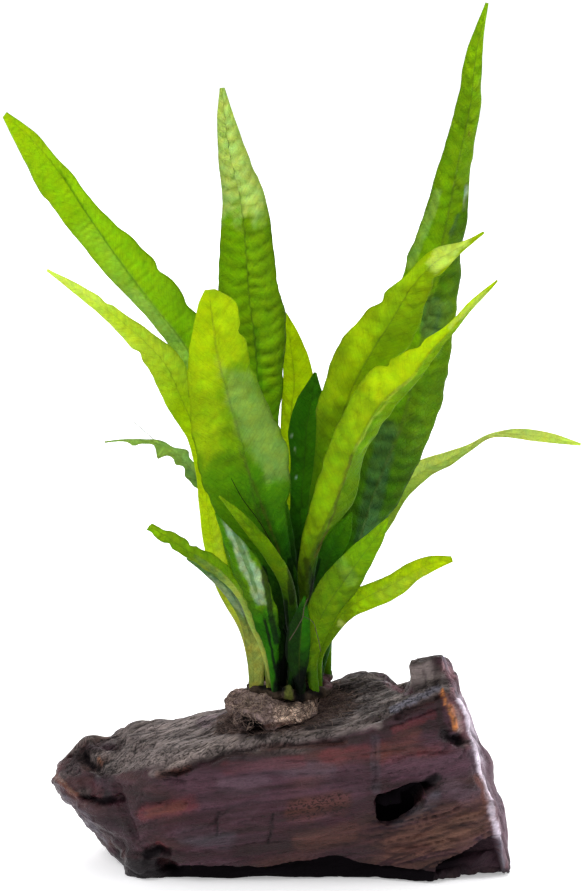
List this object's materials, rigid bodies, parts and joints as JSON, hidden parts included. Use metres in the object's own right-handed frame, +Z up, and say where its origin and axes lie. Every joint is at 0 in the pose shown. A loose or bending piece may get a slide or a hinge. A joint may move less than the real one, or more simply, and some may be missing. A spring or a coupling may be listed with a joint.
{
  "type": "java fern on driftwood",
  "caption": "Clump of long wavy fern leaves that rises from a creeping stem in a felt of roots on a loose piece of dark weathered driftwood with a flat base.",
  "frame": {"origin": "middle of the whole object's outline, on the surface that the wood rests on", "axes": "+Z up, +X to the right along the wood in the front view, +Y to the back"},
  "size_m": [0.1656, 0.0715, 0.2406],
  "materials": {
    "driftwood": "satin",
    "root_felt": "matte",
    "rhizome": "matte",
    "leaf_green": "satin",
    "leaf_bright": "satin",
    "leaf_yellow": "satin",
    "leaf_dark": "satin"
  },
  "bodies": {
    "root": {"driftwood": "driftwood", "root_mat": "root_felt", "rhizome": "rhizome", "leaf_long_left": "leaf_green", "leaf_tall_middle": "leaf_green", "leaf_broad_front": "leaf_bright", "leaf_slim_left": "leaf_yellow", "leaf_curled_left": "leaf_green", "leaf_torn_left": "leaf_green", "leaf_under_left": "leaf_dark", "leaf_ribbon_front": "leaf_bright", "leaf_glossy_left": "leaf_dark", "leaf_dark_middle": "leaf_dark", "leaf_yellow_back": "leaf_yellow", "leaf_broad_right": "leaf_bright", "leaf_folded_front": "leaf_bright", "leaf_tall_right": "leaf_green", "leaf_twisted_right": "leaf_green", "leaf_blunt_right": "leaf_yellow", "leaf_upright_right": "leaf_green", "leaf_small_front": "leaf_dark", "leaf_dark_right": "leaf_dark", "leaf_dark_left": "leaf_dark", "leaf_back_left": "leaf_green", "leaf_back_right": "leaf_green"}
  },
  "joints": []
}
